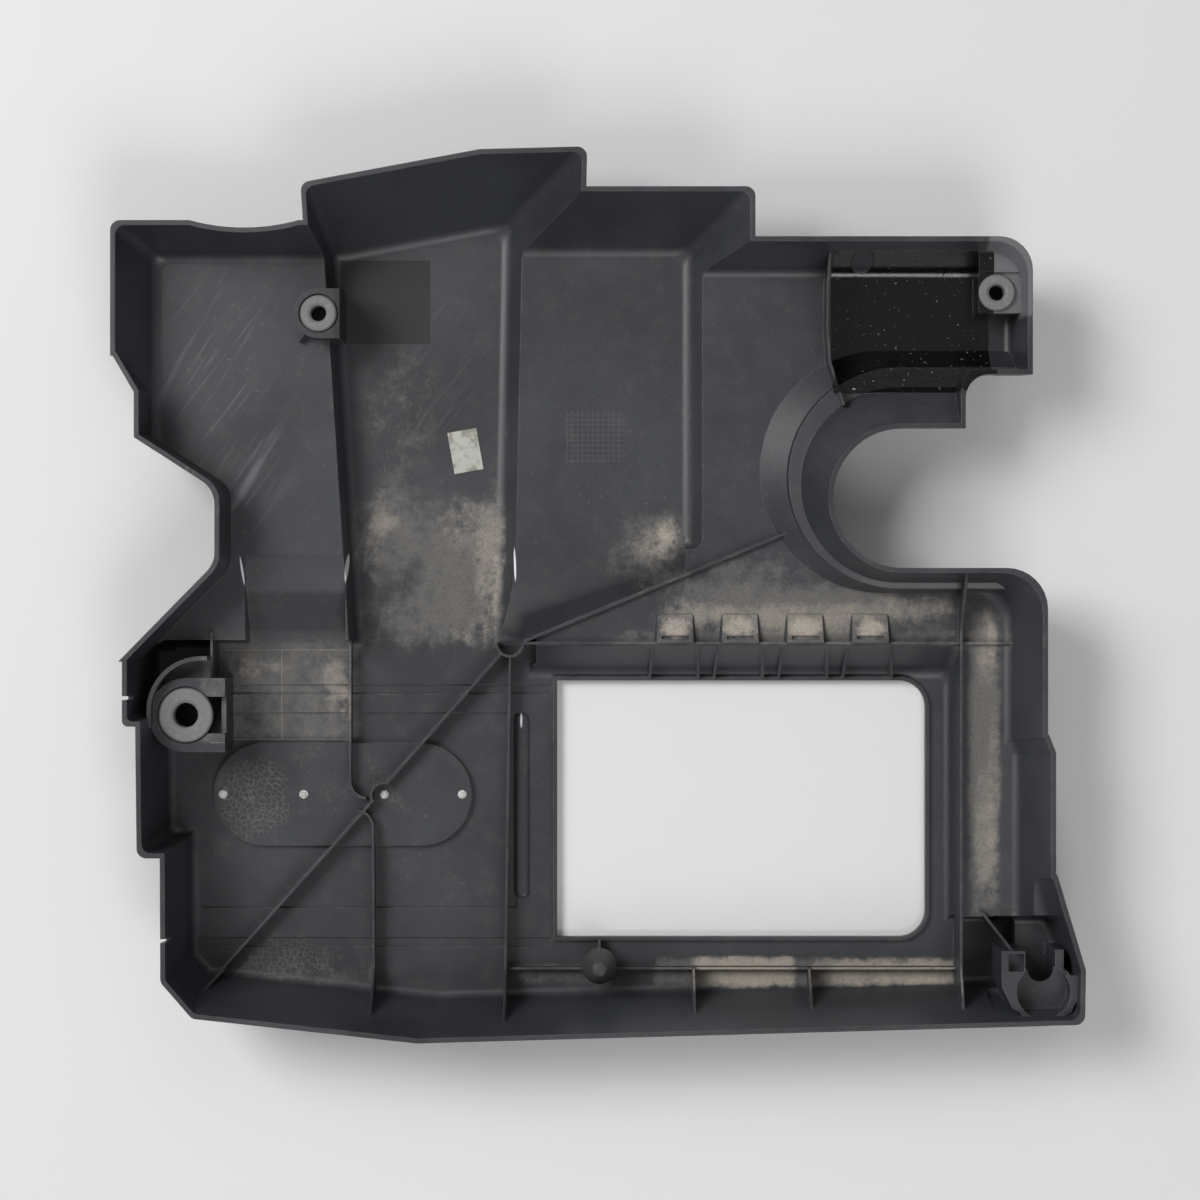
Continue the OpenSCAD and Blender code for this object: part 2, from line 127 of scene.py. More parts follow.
class Graph:
    """Node tree of one material, with its Object coordinates in metres."""

    def __init__(self, name: str) -> None:
        """Start a material with an empty Principled shader.

        Args:
            name: Name of the material.
        """
        self.material = bpy.data.materials.new(name)
        self.material.use_nodes = True
        self.tree = self.material.node_tree
        self.shader = next(n for n in self.tree.nodes if n.type == "BSDF_PRINCIPLED")
        self.place = self.node("ShaderNodeTexCoord", output="Object")

    def node(self, kind: str, inputs: dict | None = None, output: int | str = 0,
             **settings) -> Sock:
        """Add a node, its settings first and then its sockets.

        Args:
            kind: Blender's name of the node type.
            inputs: Values or sockets by input name or number.
            output: Which output to return.
            settings: Properties of the node.

        Returns:
            The chosen output.
        """
        made = self.tree.nodes.new(kind)
        for key, value in settings.items():
            setattr(made, key, value)
        for key, value in (inputs or {}).items():
            if isinstance(value, Sock):
                self.tree.links.new(value.link, made.inputs[key])
            else:
                made.inputs[key].default_value = value
        return Sock(self, made.outputs[output])

    def mix(self, amount: Sock, first: "Sock | Colour", second: "Sock | Colour") -> Sock:
        """Blend two colours.

        Args:
            amount: Share of the second colour.
            first: Colour at 0.
            second: Colour at 1.

        Returns:
            The blended colour.
        """
        made = self.tree.nodes.new("ShaderNodeMix")
        made.data_type = "RGBA"
        for index, value in ((0, amount), (6, first), (7, second)):
            if isinstance(value, Sock):
                self.tree.links.new(value.link, made.inputs[index])
            else:
                made.inputs[index].default_value = (*value, 1.0)
        return Sock(self, made.outputs[2])

    def noise(self, scale: float, detail: float = 4.0, rough: float = 0.55,
              place: Sock | None = None) -> Sock:
        """Noise value at a place, which is the Object coordinates if none is given."""
        inputs = {"Vector": place or self.place, "Scale": scale, "Detail": detail,
                  "Roughness": rough}
        return self.node("ShaderNodeTexNoise", inputs)

    def axis(self, name: str, vector: Sock | None = None) -> Sock:
        """One part of a vector, which is the Object coordinates if none is given."""
        return self.node("ShaderNodeSeparateXYZ", {"Vector": vector or self.place}, name)

    def wire(self, name: str, value: "Sock | float | Colour") -> None:
        """Set or link one socket of the shader."""
        target = self.shader.inputs[name]
        if isinstance(value, Sock):
            self.tree.links.new(value.link, target)
        elif isinstance(value, tuple):
            target.default_value = (*value, 1.0)
        else:
            target.default_value = value

    def bump(self, height: Sock, distance: float, strength: float,
             normal: Sock | None = None) -> None:
        """Feed a height into the shader's normal."""
        inputs = {"Height": height, "Distance": distance, "Strength": strength}
        if normal is not None:
            inputs["Normal"] = normal
        self.wire("Normal", self.node("ShaderNodeBump", inputs))

    def local(self, centre: Pair, radii: Pair, turn: float = 0.0) -> Sock:
        """Coordinates that are 1 at the edge of an area.

        Args:
            centre: Middle of the area, in millimetres.
            radii: Half sizes of the area.
            turn: Turn of the area, in degrees.

        Returns:
            The place within the area.
        """
        inputs = {
            "Vector": self.place,
            "Location": (centre[0] * MM, centre[1] * MM, 0.0),
            "Rotation": (0.0, 0.0, math.radians(turn)),
            "Scale": (radii[0] * MM, radii[1] * MM, 100.0),
        }
        return self.node("ShaderNodeMapping", inputs, vector_type="TEXTURE")

    def oval(self, centre: Pair, radii: Pair, turn: float = 0.0) -> Sock:
        """Mask that falls smoothly from 1 at the middle to 0 at the edge."""
        local = self.local(centre, radii, turn)
        reach = self.node("ShaderNodeVectorMath", {0: local}, "Value", operation="LENGTH")
        return 1.0 - reach.band(0.25, 1.0)

    def oblong(self, low: Pair, high: Pair, soft: float, turn: float = 0.0) -> Sock:
        """Mask that is 1 inside an oblong and fades over a width at its edges."""
        centre = ((low[0] + high[0]) / 2, (low[1] + high[1]) / 2)
        radii = ((high[0] - low[0]) / 2, (high[1] - low[1]) / 2)
        local = self.local(centre, radii, turn)
        masks = []
        for name, radius in zip("XY", radii):
            reach = self.axis(name, local).math("ABSOLUTE")
            masks.append(1.0 - reach.band(1.0 - soft / radius, 1.0 + soft / radius))
        return masks[0] * masks[1]

    def streaks(self, turn: float, along: float, across: float) -> Sock:
        """Noise drawn out along one direction.

        Args:
            turn: Direction of the streaks, in degrees from X.
            along: Scale along the streaks.
            across: Scale across them.

        Returns:
            The noise value.
        """
        rotation = (0.0, 0.0, -math.radians(turn))
        turned = self.node("ShaderNodeMapping", {"Vector": self.place, "Rotation": rotation})
        drawn = self.node("ShaderNodeMapping", {"Vector": turned, "Scale": (along, across, 8.0)})
        return self.noise(1.0, 3.0, 0.6, drawn)


class Dirt(Enum):
    """Kinds of soiling on the plastic."""

    PALE = (0.40, 0.355, 0.300)
    TAN = (0.27, 0.240, 0.205)
    BROWN = (0.13, 0.122, 0.112)


@dataclass(frozen=True)
class Patch:
    """Soft area that carries dirt, in millimetres.

    Attributes:
        centre: Middle of the area.
        radii: Half sizes of the area.
        amount: Strength at its middle.
        turn: Turn of the area, in degrees.
        square: Whether it is an oblong and not an oval.
    """

    centre: Pair
    radii: Pair
    amount: float
    turn: float = 0.0
    square: bool = False

    def mask(self, graph: Graph) -> Sock:
        """Build the area's mask, times its strength."""
        if self.square:
            low = (self.centre[0] - self.radii[0], self.centre[1] - self.radii[1])
            high = (self.centre[0] + self.radii[0], self.centre[1] + self.radii[1])
            return graph.oblong(low, high, 3.0, self.turn) * self.amount
        return graph.oval(self.centre, self.radii, self.turn) * self.amount


SOIL: dict[Dirt, tuple[Patch, ...]] = {
    Dirt.BROWN: (
        Patch((-76, 16), (34, 52), 0.95, 28),
        Patch((-112, 34), (22, 46), 0.75, -6),
        Patch((-95, -14), (48, 22), 0.7),
        Patch((-104, 100), (34, 50), 0.35),
        Patch((28, 24), (34, 28), 0.7, 30),
        Patch((112, -8), (106, 20), 1.0),
        Patch((70, 8), (56, 18), 0.5, 12),
        Patch((201, -82), (11, 96), 1.05),
        Patch((201, -90), (8, 80), 0.5, 0, True),
        Patch((-165, -50), (40, 26), 0.75, 0, True),
        Patch((-150, -198), (64, 14), 0.35),
        Patch((110, -199), (80, 7), 1.0, 0, True),
        Patch((205, 176), (20, 20), 0.30, 0, True),
        Patch((118, -24), (110, 5), 0.5, 0, True),
        Patch((-20, -200), (28, 5), 0.6, 0, True),
    ),
    Dirt.TAN: (
        Patch((-57, 16), (11, 56), 0.85, -3),
        Patch((-70, 36), (18, 24), 0.5, 30),
        Patch((-118, 30), (8, 44), 0.45, -6),
        Patch((-112, 38), (12, 9), 0.5, 20),
        Patch((-66, -20), (22, 12), 0.4),
        Patch((32, 27), (22, 15), 0.75, 35),
        Patch((100, -12), (88, 11), 0.80),
        Patch((48, -8), (30, 9), 0.5),
        Patch((165, -6), (40, 9), 0.5),
        Patch((202, -26), (8, 30), 0.7),
        Patch((201, -125), (8, 48), 0.65),
        Patch((-139, -46), (10, 22), 0.75),
        Patch((-180, -38), (24, 8), 0.45),
        Patch((76, -199), (26, 7), 1.2, 0, True),
        Patch((150, -199), (38, 6.5), 1.1, 0, True),
        Patch((206, -100), (5, 90), 0.35),
    ),
    Dirt.PALE: (
        Patch((-55, 6), (5, 34), 0.45, -3),
        Patch((36, 30), (11, 9), 0.55, 35),
        Patch((41, -17), (12, 8), 1.1),
        Patch((74, -17), (12, 8), 1.1),
        Patch((108, -17), (12, 8), 1.0),
        Patch((142, -17), (12, 8), 1.0),
        Patch((78, -199), (26, 7), 1.1, 0, True),
        Patch((155, -199), (32, 6), 0.8, 0, True),
        Patch((-133, -56), (5, 16), 0.6),
        Patch((205, -24), (4, 16), 0.4),
    ),
}


@dataclass(frozen=True)
class MouldedPlastic:
    """Charcoal plastic with grain, dust, scuffs and a wet dark film.

    Attributes:
        colour: Colour of the clean plastic.
        dark: Colour of its darker blotches.
        rubbed: Colour of its rubbed places.
        glint: Colour of a shine on a moulded edge.
        glints: Middle, half length and turn of each shine.
        tape: Colour of the dark square on the spine's floor.
        tape_low: Lower left corner of that square, in millimetres.
        tape_high: Its upper right corner.
        film: Colour of the wet film.
        film_low: Lower left corner of the film.
        film_high: Its upper right corner.
        glint_places: Middle, half sizes and turn of each place that glistens, where the painted
            glint specks gather.
        painted_glint: Colour of the pale specks on the film, which are painted glints.
    """

    colour: Colour = (0.037, 0.039, 0.044)
    dark: Colour = (0.024, 0.025, 0.029)
    rubbed: Colour = (0.135, 0.135, 0.142)
    glint: Colour = (0.70, 0.70, 0.72)
    glints: tuple = (((-185.0, 12.5), 9.5, 9.0), ((-131.2, 14.0), 9.5, -3.0),
                     ((-43.6, 16.0), 11.0, 2.0), ((-40.5, -66.0), 5.0, 0.0))
    tape: Colour = (0.014, 0.014, 0.014)
    tape_low: Pair = (-136.0, 132.5)
    tape_high: Pair = (-88.5, 176.5)
    film: Colour = (0.0045, 0.0045, 0.005)
    film_low: Pair = (121.5, 104.0)
    film_high: Pair = (203.0, 176.0)
    glint_places: tuple = (((193, 118), (11, 13), 0), ((160, 103), (40, 6), 8),
                      ((135, 103), (11, 9), 0))
    painted_glint: Colour = (0.62, 0.62, 0.64)

    def build(self, name: str) -> bpy.types.Material:
        """Make the material.

        Args:
            name: Name of the material.

        Returns:
            The finished material.
        """
        graph = Graph(name)
        rounded = graph.node("ShaderNodeBevel", {"Radius": 0.8 * MM}, samples=2)
        facing = graph.node("ShaderNodeNewGeometry", output="Normal")
        level = graph.axis("Z", facing).band(0.30, 0.85)
        cloud = graph.noise(14.0, 3.0, 0.5)
        mottle = graph.noise(95.0, 7.0, 0.68)
        grain = graph.noise(900.0, 2.0, 0.6)
        rough = mottle * 0.14 + 0.36
        colour = graph.mix(cloud.band(0.35, 0.65), self.dark, self.colour)
        flecks = graph.noise(380.0, 3.0, 0.7).band(0.62, 0.72) * cloud.band(0.35, 0.6)
        fines = mottle.band(0.45, 0.80) * 0.05 + flecks * 0.16 + grain.band(0.5, 0.8) * 0.05
        colour = graph.mix(fines * level, colour, Dirt.TAN.value)
        colour = graph.mix(self._scuffs(graph) * level, colour, self.rubbed)
        for dirt, patches in SOIL.items():
            amount = self._soil(graph, patches, cloud, mottle, grain) * level
            colour = graph.mix(amount, colour, dirt.value)
            rough = rough + amount * 0.35
        for lines, tone in ((self._crackle(graph, mottle), Dirt.PALE.value),
                            (self._witness(graph), Dirt.TAN.value),
                            (self._grid(graph), self.rubbed)):
            colour = graph.mix(lines * level, colour, tone)
        # The top of the upper right block is made a lighter grey, in the colour of the rubbed
        # places.
        bracket = graph.oblong((199, 142), (222, 186), 1.5) * graph.axis("Z").band(0.034, 0.042)
        colour = graph.mix(bracket * 0.9, colour, self.rubbed)
        bend = 1.0 - graph.node("ShaderNodeVectorMath", {0: rounded, 1: facing}, "Value",
                                operation="DOT_PRODUCT")
        edge = bend.band(0.006, 0.10) * (mottle.band(0.35, 0.60) * 0.75 + 0.25)
        colour = graph.mix(edge, colour, self.rubbed)
        for centre, length, turn in self.glints:
            shine = graph.oval(centre, (0.75, length), turn).band(0.0, 0.5)
            colour = graph.mix(shine, colour, self.glint)
        tape = graph.oblong(self.tape_low, self.tape_high, 0.25)
        colour = graph.mix(tape, colour, self.tape)
        film, painted_glints = self._wetness(graph, cloud, mottle)
        colour = graph.mix(film, colour, self.film)
        # The pale specks are painted glints on the wet film.
        graph.wire("Base Color", graph.mix(painted_glints, colour, self.painted_glint))
        graph.wire("Roughness", (rough * (1.0 - film * 0.68) + tape * 0.2).clamp())
        beads = (graph.noise(420.0, 1.0, 0.5).band(0.70, 0.74) *
                 graph.noise(60.0, 2.0).band(0.5, 0.6))
        wet = film * 1.6 + film * beads * 2.2 + film * mottle * 1.2
        graph.bump(grain * 0.12 + wet, 0.3 * MM, 0.6, rounded)
        return graph.material

    @staticmethod
    def _soil(graph: Graph, patches: tuple[Patch, ...], cloud: Sock, mottle: Sock,
              grain: Sock) -> Sock:
        """Add up the areas of one kind of dirt and break them up.

        Args:
            graph: The material's graph.
            patches: Areas of this kind.
            cloud: Broad noise.
            mottle: Middling noise.
            grain: Fine noise.

        Returns:
            How much of this dirt covers the plastic.
        """
        total = patches[0].mask(graph)
        for patch in patches[1:]:
            total = total + patch.mask(graph)
        broken = (cloud - 0.5) * 0.8 + (mottle - 0.5) * 1.8
        broken = broken + (graph.streaks(78.0, 12.0, 150.0) - 0.5) * 0.6
        broken = broken + (graph.noise(240.0, 6.0, 0.7) - 0.5) * 1.3
        total = total + total.band(0.0, 0.3) * broken
        return (total.band(0.05, 1.25) * (grain.band(0.3, 0.6) * 0.4 + 0.6) * 0.9).clamp()

    @staticmethod
    def _scuffs(graph: Graph) -> Sock:
        """Fine slanting scratches, thickest in the left pocket."""
        fine = graph.streaks(52.0, 9.0, 520.0).band(0.60, 0.74)
        broad = graph.streaks(58.0, 14.0, 170.0).band(0.55, 0.80)
        left = graph.oval((-196, 98), (42, 100), 8.0)
        middle = graph.oval((-90, 120), (50, 100)) * 0.35
        return (fine * 0.9 + broad * 0.8) * (left + middle).clamp()

    @staticmethod
    def _crackle(graph: Graph, mottle: Sock) -> Sock:
        """Net of fine dried lines on the plate's recess and near the lower edge."""
        cells = graph.node("ShaderNodeTexVoronoi", {"Vector": graph.place, "Scale": 330.0},
                           feature="DISTANCE_TO_EDGE")
        lines = 1.0 - cells.band(0.01, 0.07)
        area = graph.oval((-183, -108), (26, 34)) + graph.oval((-165, -192), (34, 18))
        area = area + graph.oval((-135, -100), (70, 44)) * 0.35
        return lines * (area + (mottle - 0.5) * 1.4).band(0.2, 0.8) * area.band(0.0, 0.2) * 0.2

    @staticmethod
    def _witness(graph: Graph) -> Sock:
        """Thin scribed lines across the lower left tray."""
        total = graph.oblong((-167.2, -76.0), (-166.6, -28.5), 0.15)
        for low, high in (((-200.0, -76.4), (-128.0, -75.9)), ((-200.0, -29.2), (-132.0, -28.7))):
            total = total + graph.oblong(low, high, 0.15)
        return total.clamp() * 0.4

    @staticmethod
    def _grid(graph: Graph) -> Sock:
        """Plain grid of fine raised lines in the middle pocket."""
        pitch = 2.7 * MM
        inside = graph.oblong((-17.2, 69.5), (13.2, 96.8), 0.2)
        masks = []
        for name in "XY":
            away = ((graph.axis(name) * (1.0 / pitch)).math("FRACT") - 0.5).math("ABSOLUTE")
            masks.append(away.band(0.40, 0.47))
        return (masks[0] + masks[1]).clamp() * inside * 0.32

    def _wetness(self, graph: Graph, cloud: Sock, mottle: Sock) -> tuple[Sock, Sock]:
        """Masks of the wet film and of the pale specks on it, which are painted glints.

        Args:
            graph: The material's graph.
            cloud: Broad noise.
            mottle: Middling noise.

        Returns:
            The two masks.
        """
        area = graph.oblong(self.film_low, self.film_high, 1.5)
        ragged = area * 1.4 + (cloud - 0.5) * 0.8 + (mottle - 0.5) * 0.5
        film = ragged.band(0.55, 0.62) * area.band(0.0, 0.1)
        film = film * (1.0 - graph.oval((136.5, 172.0), (7.5, 6.5)).band(0.2, 0.3))
        total = film * 0.25
        for centre, radii, turn in self.glint_places:
            total = total + graph.oval(centre, radii, turn)
        # Painted glints: pale specks, thickest at the places that glisten.
        painted_glints = graph.noise(520.0, 2.0, 0.6).band(0.69, 0.73) * total.clamp()
        return film, painted_glints * film.band(0.0, 0.5)


@dataclass(frozen=True)
class Rubber:
    """Greyed rubber with fine dust in its pores.

    Attributes:
        colour: Colour of the rubber.
        dust: Colour of the dust.
        roughness: Roughness of the surface.
    """

    colour: Colour = (0.15, 0.15, 0.154)
    dust: Colour = (0.32, 0.31, 0.30)
    roughness: float = 0.62

    def build(self, name: str) -> bpy.types.Material:
        """Make the material and return it."""
        graph = Graph(name)
        fine = graph.noise(420.0, 4.0, 0.7)
        graph.wire("Base Color", graph.mix(fine.band(0.52, 0.75) * 0.5, self.colour, self.dust))
        graph.wire("Roughness", self.roughness)
        graph.bump(fine, 0.3 * MM, 0.3)
        return graph.material


@dataclass(frozen=True)
class PalePlastic:
    """Pale plastic or paper with faint soiling.

    Attributes:
        colour: Clean colour.
        soil: Colour of the soiling.
        share: How much of the surface is soiled.
        roughness: Roughness of the surface.
    """

    colour: Colour
    soil: Colour
    share: float = 0.5
    roughness: float = 0.5

    def build(self, name: str) -> bpy.types.Material:
        """Make the material and return it."""
        graph = Graph(name)
        blot = graph.noise(150.0, 5.0, 0.65)
        soiled = blot.band(0.45, 0.62) * self.share
        graph.wire("Base Color", graph.mix(soiled, self.colour, self.soil))
        graph.wire("Roughness", self.roughness)
        graph.bump(blot, 0.4 * MM, 0.2)
        return graph.material


class Plan:
    """Outlines in the plan, counterclockwise, in millimetres."""

    @staticmethod
    def arc(centre: Pair, radius: float, start: float, end: float, steps: int = 8) -> list[Vector]:
        """Points along an arc.

        Args:
            centre: Middle of the arc.
            radius: Its radius.
            start: Direction of its first point, in degrees.
            end: Direction of its last point.
            steps: How many pieces it has.

        Returns:
            The points.
        """
        turns = [math.radians(start + (end - start) * k / steps) for k in range(steps + 1)]
        return [Vector(centre) + radius * Vector((math.cos(a), math.sin(a))) for a in turns]

    @staticmethod
    def circle(centre: Pair, radius: float, sides: int = 64) -> list[Vector]:
        """Points of a whole circle."""
        return Plan.arc(centre, radius, 0.0, 360.0, sides)[:-1]

    @staticmethod
    def box(low: Pair, high: Pair) -> list[Vector]:
        """Corners of an upright oblong."""
        (x0, y0), (x1, y1) = low, high
        return [Vector(p) for p in ((x0, y0), (x1, y0), (x1, y1), (x0, y1))]

    @staticmethod
    def moved(points: list[Vector], steps: list[float]) -> list[Vector]:
        """Convex outline with each edge moved inward.

        Args:
            points: The outline.
            steps: How far each edge moves.

        Returns:
            The new outline.
        """
        lines = []
        for index, first in enumerate(points):
            second = points[(index + 1) % len(points)]
            run = (second - first).normalized()
            shift = Vector((-run.y, run.x)) * steps[index]
            lines.append((first + shift, second - first))
        corners = []
        for index, (start, run) in enumerate(lines):
            before, past = lines[index - 1]
            gap = start - before
            share = (gap.x * run.y - gap.y * run.x) / (past.x * run.y - past.y * run.x)
            corners.append(before + past * share)
        return corners

    @staticmethod
    def eased(points: list[Vector], radius: float, steps: int) -> list[Vector]:
        """Convex outline with its corners rounded.

        Args:
            points: The outline.
            radius: Radius of the corners.
            steps: How many pieces each corner has.

        Returns:
            The rounded outline.
        """
        made = []
        for index, point in enumerate(points):
            back = (points[index - 1] - point).normalized()
            on = (points[(index + 1) % len(points)] - point).normalized()
            half = math.acos(max(-1.0, min(1.0, back.dot(on)))) / 2
            centre = point + (back + on).normalized() * (radius / math.sin(half))
            start = math.degrees(math.atan2(back.x, -back.y))
            end = start + 180.0 - 2 * math.degrees(half)
            made += Plan.arc(tuple(centre), radius, start, end, steps)
        return made

    @staticmethod
    def strip(first: Pair, second: Pair, width: float) -> list[Vector]:
        """Oblong round a line, which runs half its width past both ends."""
        first, second = Vector(first), Vector(second)
        run = (second - first).normalized() * (width / 2)
        side = Vector((-run.y, run.x))
        return [first - run - side, second + run - side, second + run + side, first - run + side]


class Form:
    """Closed form in millimetres that is joined to others and cut by them."""

    def __init__(self, points: list[Vector], faces: list[list[int]] | None = None) -> None:
        """Make the form.

        Args:
            points: Corners of the form.
            faces: Its faces; without them the form is the hull of its corners.
        """
        work = bmesh.new()
        corners = [work.verts.new(Vector(p) * MM) for p in points]
        if faces is None:
            bmesh.ops.convex_hull(work, input=corners)
            loose = [v for v in work.verts if not v.link_faces]
            bmesh.ops.delete(work, geom=loose, context="VERTS")
        else:
            for face in faces:
                work.faces.new([corners[i] for i in face])
        bmesh.ops.recalc_face_normals(work, faces=work.faces)
        bmesh.ops.triangulate(work, faces=work.faces)
        mesh = bpy.data.meshes.new("form")
        work.to_mesh(mesh)
        work.free()
        self.object = bpy.data.objects.new("form", mesh)
        bpy.context.collection.objects.link(self.object)

    @classmethod
    def upright(cls, outline: list[Vector], low: float, high: float) -> "Form":
        """Form of one outline between two heights."""
        return cls.lofted([(outline, low), (outline, high)])

    @classmethod
    def block(cls, low: Pair, high: Pair, foot: float, top: float) -> "Form":
        """Upright box between two corners and two heights."""
        return cls.upright(Plan.box(low, high), foot, top)

    @classmethod
    def rod(cls, centre: Pair, radius: float, foot: float, top: float, sides: int = 64) -> "Form":
        """Upright cylinder between two heights."""
        return cls.upright(Plan.circle(centre, radius, sides), foot, top)

    @classmethod
    def hull(cls, levels: list[tuple[list[Vector], float]]) -> "Form":
        """Convex form through outlines at their heights."""
        return cls([Vector((p.x, p.y, z)) for outline, z in levels for p in outline])

    @classmethod
    def lofted(cls, levels: list[tuple[list[Vector], float]]) -> "Form":
        """Form through outlines with equal counts of points."""
        count = len(levels[0][0])
        last = (len(levels) - 1) * count
        faces = [list(range(count)), list(range(last, last + count))]
        for low in range(0, last, count):
            for i in range(count):
                j = (i + 1) % count
                faces += [[low + i, low + j, low + count + j],
                          [low + i, low + count + j, low + count + i]]
        return cls([Vector((p.x, p.y, z)) for outline, z in levels for p in outline], faces)

    def _apply(self, others: tuple["Form", ...], operation: str) -> "Form":
        """Apply one Boolean modifier for each other form, which is used up."""
        for other in others:
            modifier = self.object.modifiers.new("join", "BOOLEAN")
            modifier.operation = operation
            modifier.solver = "MANIFOLD"
            modifier.object = other.object
            with bpy.context.temp_override(object=self.object, active_object=self.object):
                bpy.ops.object.modifier_apply(modifier=modifier.name)
            used = other.object.data
            bpy.data.objects.remove(other.object)
            bpy.data.meshes.remove(used)
        return self

    def join(self, *others: "Form") -> "Form":
        """Join other forms to this one."""
        return self._apply(others, "UNION")

    def cut(self, *others: "Form") -> "Form":
        """Cut other forms out of this one."""
        return self._apply(others, "DIFFERENCE")

    def keep(self, other: "Form") -> "Form":
        """Keep what lies in another form too."""
        return self._apply((other,), "INTERSECT")


@dataclass(frozen=True)
class Tub:
    """Drafted tub with curved corners and a curved foot to its walls.

    Attributes:
        rim: Its rim at the outer skin.
        lean: Lean of each wall over its height.
        floor: Height of its outer floor.
        radius: Radius of its corners.
        height: Height of the cover's rim.
        foot: Radius between floor and wall.
    """

    rim: tuple[Pair, ...]
    lean: tuple[float, ...]
    floor: float
    radius: float = 5.0
    height: float = 58.0
    foot: float = 4.0

    def form(self, skin: float) -> Form:
        """Build the tub a given distance inside its outer face.

        Args:
            skin: The distance.

        Returns:
            The form.
        """
        low = self.floor + skin
        turns = [math.radians(15.0 * k) for k in range(7)]
        bends = [(self.foot * (1 - math.sin(a)), low + self.foot * (1 - math.cos(a)))
                 for a in turns]
        levels = []
        for inward, z in [*bends, (0.0, self.height + skin)]:
            share = (self.height - z) / (self.height - low)
            steps = [skin + lean * share + inward for lean in self.lean]
            rim = Plan.moved([Vector(p) for p in self.rim], steps)
            levels.append((Plan.eased(rim, self.radius, 8), z))
        return Form.hull(levels)


def lower_edge(x: float) -> float:
    """Place along Y of the straight lower edge."""
    return -228.0 + (x + 92.0) * 0.0277


WINDOW_RIM = -0.3
WINDOW_LEAN = 38
TUBS: dict[str, Tub] = {
    "spine": Tub(((-135, -45), (-11, -45), (-5.5, 228), (-60, 226.6), (-151.3, 209.6)),
                 (2, 38.5, 31, 31, 7), 0),
    "middle": Tub(((-75, 20), (80, 20), (80, 207.7), (-75, 207.7)), (2, 30, 25.5, 5), 11),
    "right": Tub(((36, -36), (200, -36), (200, 182.3), (36, 182.3)), (2, 4, 11.6, 2), 21, 17),
    "right_corner": Tub(((36, 58), (221, 58), (221, 182.3), (36, 182.3)),
                        (2, 4, 11.6, 2), 21, 17),
    "left": Tub(((-248, -34), (-112, -34), (-112, 190.5), (-248, 190.5)), (3, 2, 12.5, 15), 22),
    "tray": Tub(((-222.5, -197), (-206.4, -215.5), (-92, lower_edge(-92)),
                 (-30, lower_edge(-30)), (-30, -19), (-223.2, -19)), (9, 14, 13, 2, 3, 6), 0),
    "tray_step": Tub(((-234.5, -134), (-150, -134), (-150, -19), (-235.8, -19)),
                     (5, 2, 3, 6), 0),
    "tray_nose": Tub(((-242, -67), (-190, -67), (-190, -20), (-242, -20)), (5, 2, 4, 6), 0, 3),
    "window_frame": Tub(((-60, lower_edge(-60)), (196, lower_edge(196)), (196, WINDOW_RIM),
                         (-60, WINDOW_RIM)), (13, 8, WINDOW_LEAN, 2), 0),
    "lower_end": Tub(((150, lower_edge(150)), (232.8, lower_edge(232.8)), (232.8, -163),
                      (150, -163)), (13, 14, 3, 2), 0),
    "column": Tub(((150, -150), (228.7, -150), (228.7, 13.75), (150, 13.75)),
                  (2, 12, 5, 2), 21, 21),
    "column_foot": Tub(((180, -176), (232.8, -176), (232.8, -80), (228.4, -69), (180, -69)),
                       (2, 12, 12, 2, 2), 21),
    "flare": Tub(((180, -178), (244.1, -178), (232.8, -140), (180, -140)), (2, 7, 2, 2), 38),
    "clip_foot": Tub(((196, -219.6), (247.5, -218.6), (248, -191), (238.8, -160), (196, -160)),
                     (8, 3, 3, 6, 4), 9),
}
# Left side, right side, upper end, lower end and height of each pocket's ramp.
RAMPS = ((-60, 48, 23, -28, 11), (-186, -128.8, 22, -27, 22))
# Outline and corner radius of each bite out of the cover's edge.
BITES = (
    (((-195.5, 53.5), (-270, 101.4), (-270, -59.8), (-195.5, 16.2)), 14),
    (((-236.5, 70), (-236.5, 103), (-247, 121), (-270, 121), (-270, 70)), 1),
    (((187.4, 60), (270, 60), (270, 111.5), (187.4, 111.5)), 12),
)
UNDER = -10.0
OVER = 70.0


